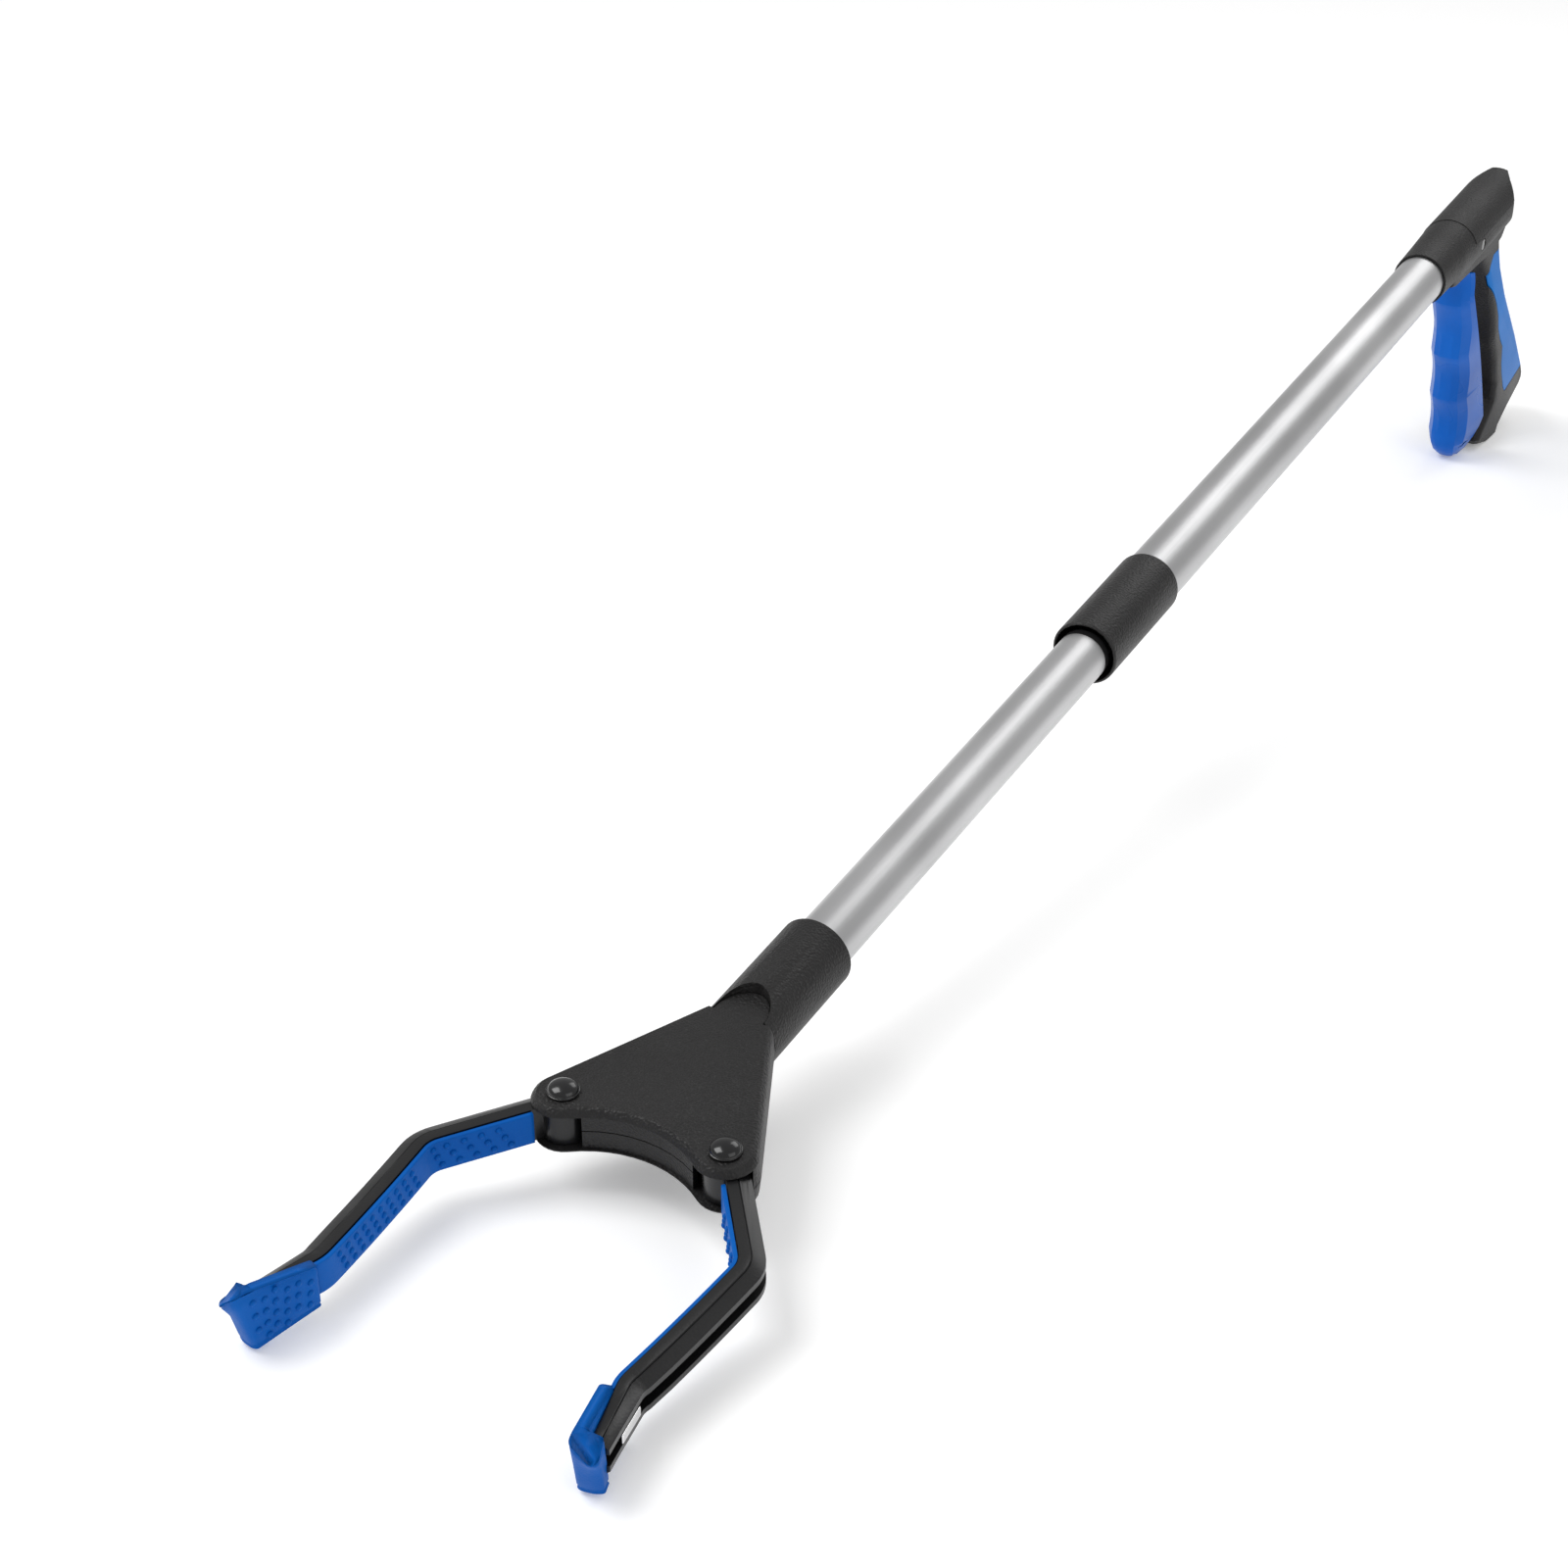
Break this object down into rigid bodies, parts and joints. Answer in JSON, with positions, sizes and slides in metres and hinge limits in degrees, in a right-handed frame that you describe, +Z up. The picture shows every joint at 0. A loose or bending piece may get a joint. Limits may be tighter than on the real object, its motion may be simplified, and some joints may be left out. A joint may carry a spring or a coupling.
{
  "type": "reacher grabber",
  "caption": "Folding reach-extender: a two-part pole with a squeeze trigger on a pistol grip that closes a turning head with two padded jaws.",
  "frame": {"origin": "middle of the bounding box in plan, on the surface that it stands on", "axes": "+X runs along the pole towards the handle, +Y runs across the jaws, +Z is up; the tool stands on the foot of its grip and on its two tip pads, so the pole slopes up towards the handle"},
  "size_m": [0.858, 0.1022, 0.1263],
  "materials": {
    "tube_aluminium": "satin anodised",
    "head_black": "fine-grained moulded",
    "handle_black": "fine-grained moulded",
    "collar_black": "fine-grained moulded",
    "fitting_black": "moulded",
    "jaw_black": "semi-gloss moulded",
    "rivet_black": "gloss",
    "grip_blue_rubber": "soft matt",
    "backstrap_blue_rubber": "soft matt",
    "trigger_blue": "satin moulded",
    "magnet_metal": "bright plated",
    "steel": "plain"
  },
  "bodies": {
    "handle": {"handle_body": "handle_black", "barrel_cover": "handle_black", "grip_backstrap": "backstrap_blue_rubber", "trigger_pin": "steel", "handle_tube_pin": "steel", "cover_screw_left": "steel", "cover_screw_right": "steel", "upper_tube": "tube_aluminium", "upper_hinge_fitting": "fitting_black", "upper_fitting_pin": "steel", "hinge_pin_left": "steel", "hinge_pin_right": "steel"},
    "trigger": {"trigger": "trigger_blue"},
    "upper_cable": {"cable_upper": "steel", "cable_bend": "steel"},
    "collar": {"lock_collar": "collar_black"},
    "lower_pole": {"lower_hinge_fitting": "fitting_black", "lower_fitting_screw": "steel", "lower_tube": "tube_aluminium", "swivel_spigot": "fitting_black", "spigot_pin": "steel", "swivel_ring": "steel"},
    "lower_cable": {"cable_lower": "steel"},
    "head": {"head_base": "head_black", "head_cover": "head_black", "head_screw_1": "steel", "head_screw_2": "steel", "pivot_post_left": "rivet_black", "pivot_post_right": "rivet_black", "pivot_screw_left": "steel", "pivot_screw_right": "steel", "spring_seat": "fitting_black"},
    "yoke": {"yoke": "jaw_black", "yoke_pin_left": "steel", "yoke_pin_right": "steel", "return_spring": "steel"},
    "jaw_left": {"jaw_left": "jaw_black", "jaw_liner_left": "grip_blue_rubber", "tip_pad_left": "grip_blue_rubber"},
    "jaw_right": {"jaw_right": "jaw_black", "jaw_liner_right": "grip_blue_rubber", "tip_pad_right": "grip_blue_rubber", "tip_magnet": "magnet_metal"}
  },
  "joints": [
    {"name": "trigger_pull", "type": "hinge", "parent": "handle", "child": "trigger", "pos_m": [0.29596, 0, 0.11077], "axis": [0, -1, 0], "range_deg": [0, 7.5], "stiffness_Nm_per_rad": 0.8, "springref_deg": -8.59},
    {"name": "cable_upper_slide", "type": "slide", "parent": "handle", "child": "upper_cable", "axis": [0.9948, 0, 0.1018], "range_m": [0, 0.0018], "deforming": ["cable_bend"]},
    {"name": "collar_slide", "type": "slide", "parent": "handle", "child": "collar", "axis": [0.9904, 0, 0.1383], "range_m": [0, 0.08]},
    {"name": "fold", "type": "hinge", "parent": "handle", "child": "lower_pole", "pos_m": [-0.04369, 0, 0.06292], "axis": [0, 1, 0], "range_deg": [0, 150], "deforming": ["cable_bend"]},
    {"name": "cable_lower_slide", "type": "slide", "parent": "lower_pole", "child": "lower_cable", "axis": [0.9904, 0, 0.1383], "range_m": [0, 0.0018]},
    {"name": "head_turn", "type": "hinge", "parent": "lower_pole", "child": "head", "pos_m": [-0.26589, 0, 0.02724], "axis": [0.9904, 0, 0.1383], "range_deg": [0, 90]},
    {"name": "yoke_slide", "type": "slide", "parent": "head", "child": "yoke", "axis": [0.9904, 0, 0.1383], "range_m": [0, 0.0018], "deforming": ["return_spring"]},
    {"name": "jaw_left_turn", "type": "hinge", "parent": "head", "child": "jaw_left", "pos_m": [-0.32531, 0.0232, 0.01895], "axis": [-0.1383, 0, 0.9904], "range_deg": [0, 23.51]},
    {"name": "jaw_right_turn", "type": "hinge", "parent": "head", "child": "jaw_right", "pos_m": [-0.32531, -0.0232, 0.01895], "axis": [0.1383, 0, -0.9904], "range_deg": [0, 23.51]}
  ],
  "couplings": [
    {"joint": "cable_upper_slide", "follows": "trigger_pull", "m_per_rad": 0.01303},
    {"joint": "cable_lower_slide", "follows": "trigger_pull", "m_per_rad": 0.01303},
    {"joint": "yoke_slide", "follows": "trigger_pull", "m_per_rad": 0.01303},
    {"joint": "jaw_left_turn", "follows": "trigger_pull", "ratio": 3.1333},
    {"joint": "jaw_right_turn", "follows": "trigger_pull", "ratio": 3.1333},
    {"joint": "collar_slide", "follows": "fold", "m_per_rad": 0.03}
  ]
}
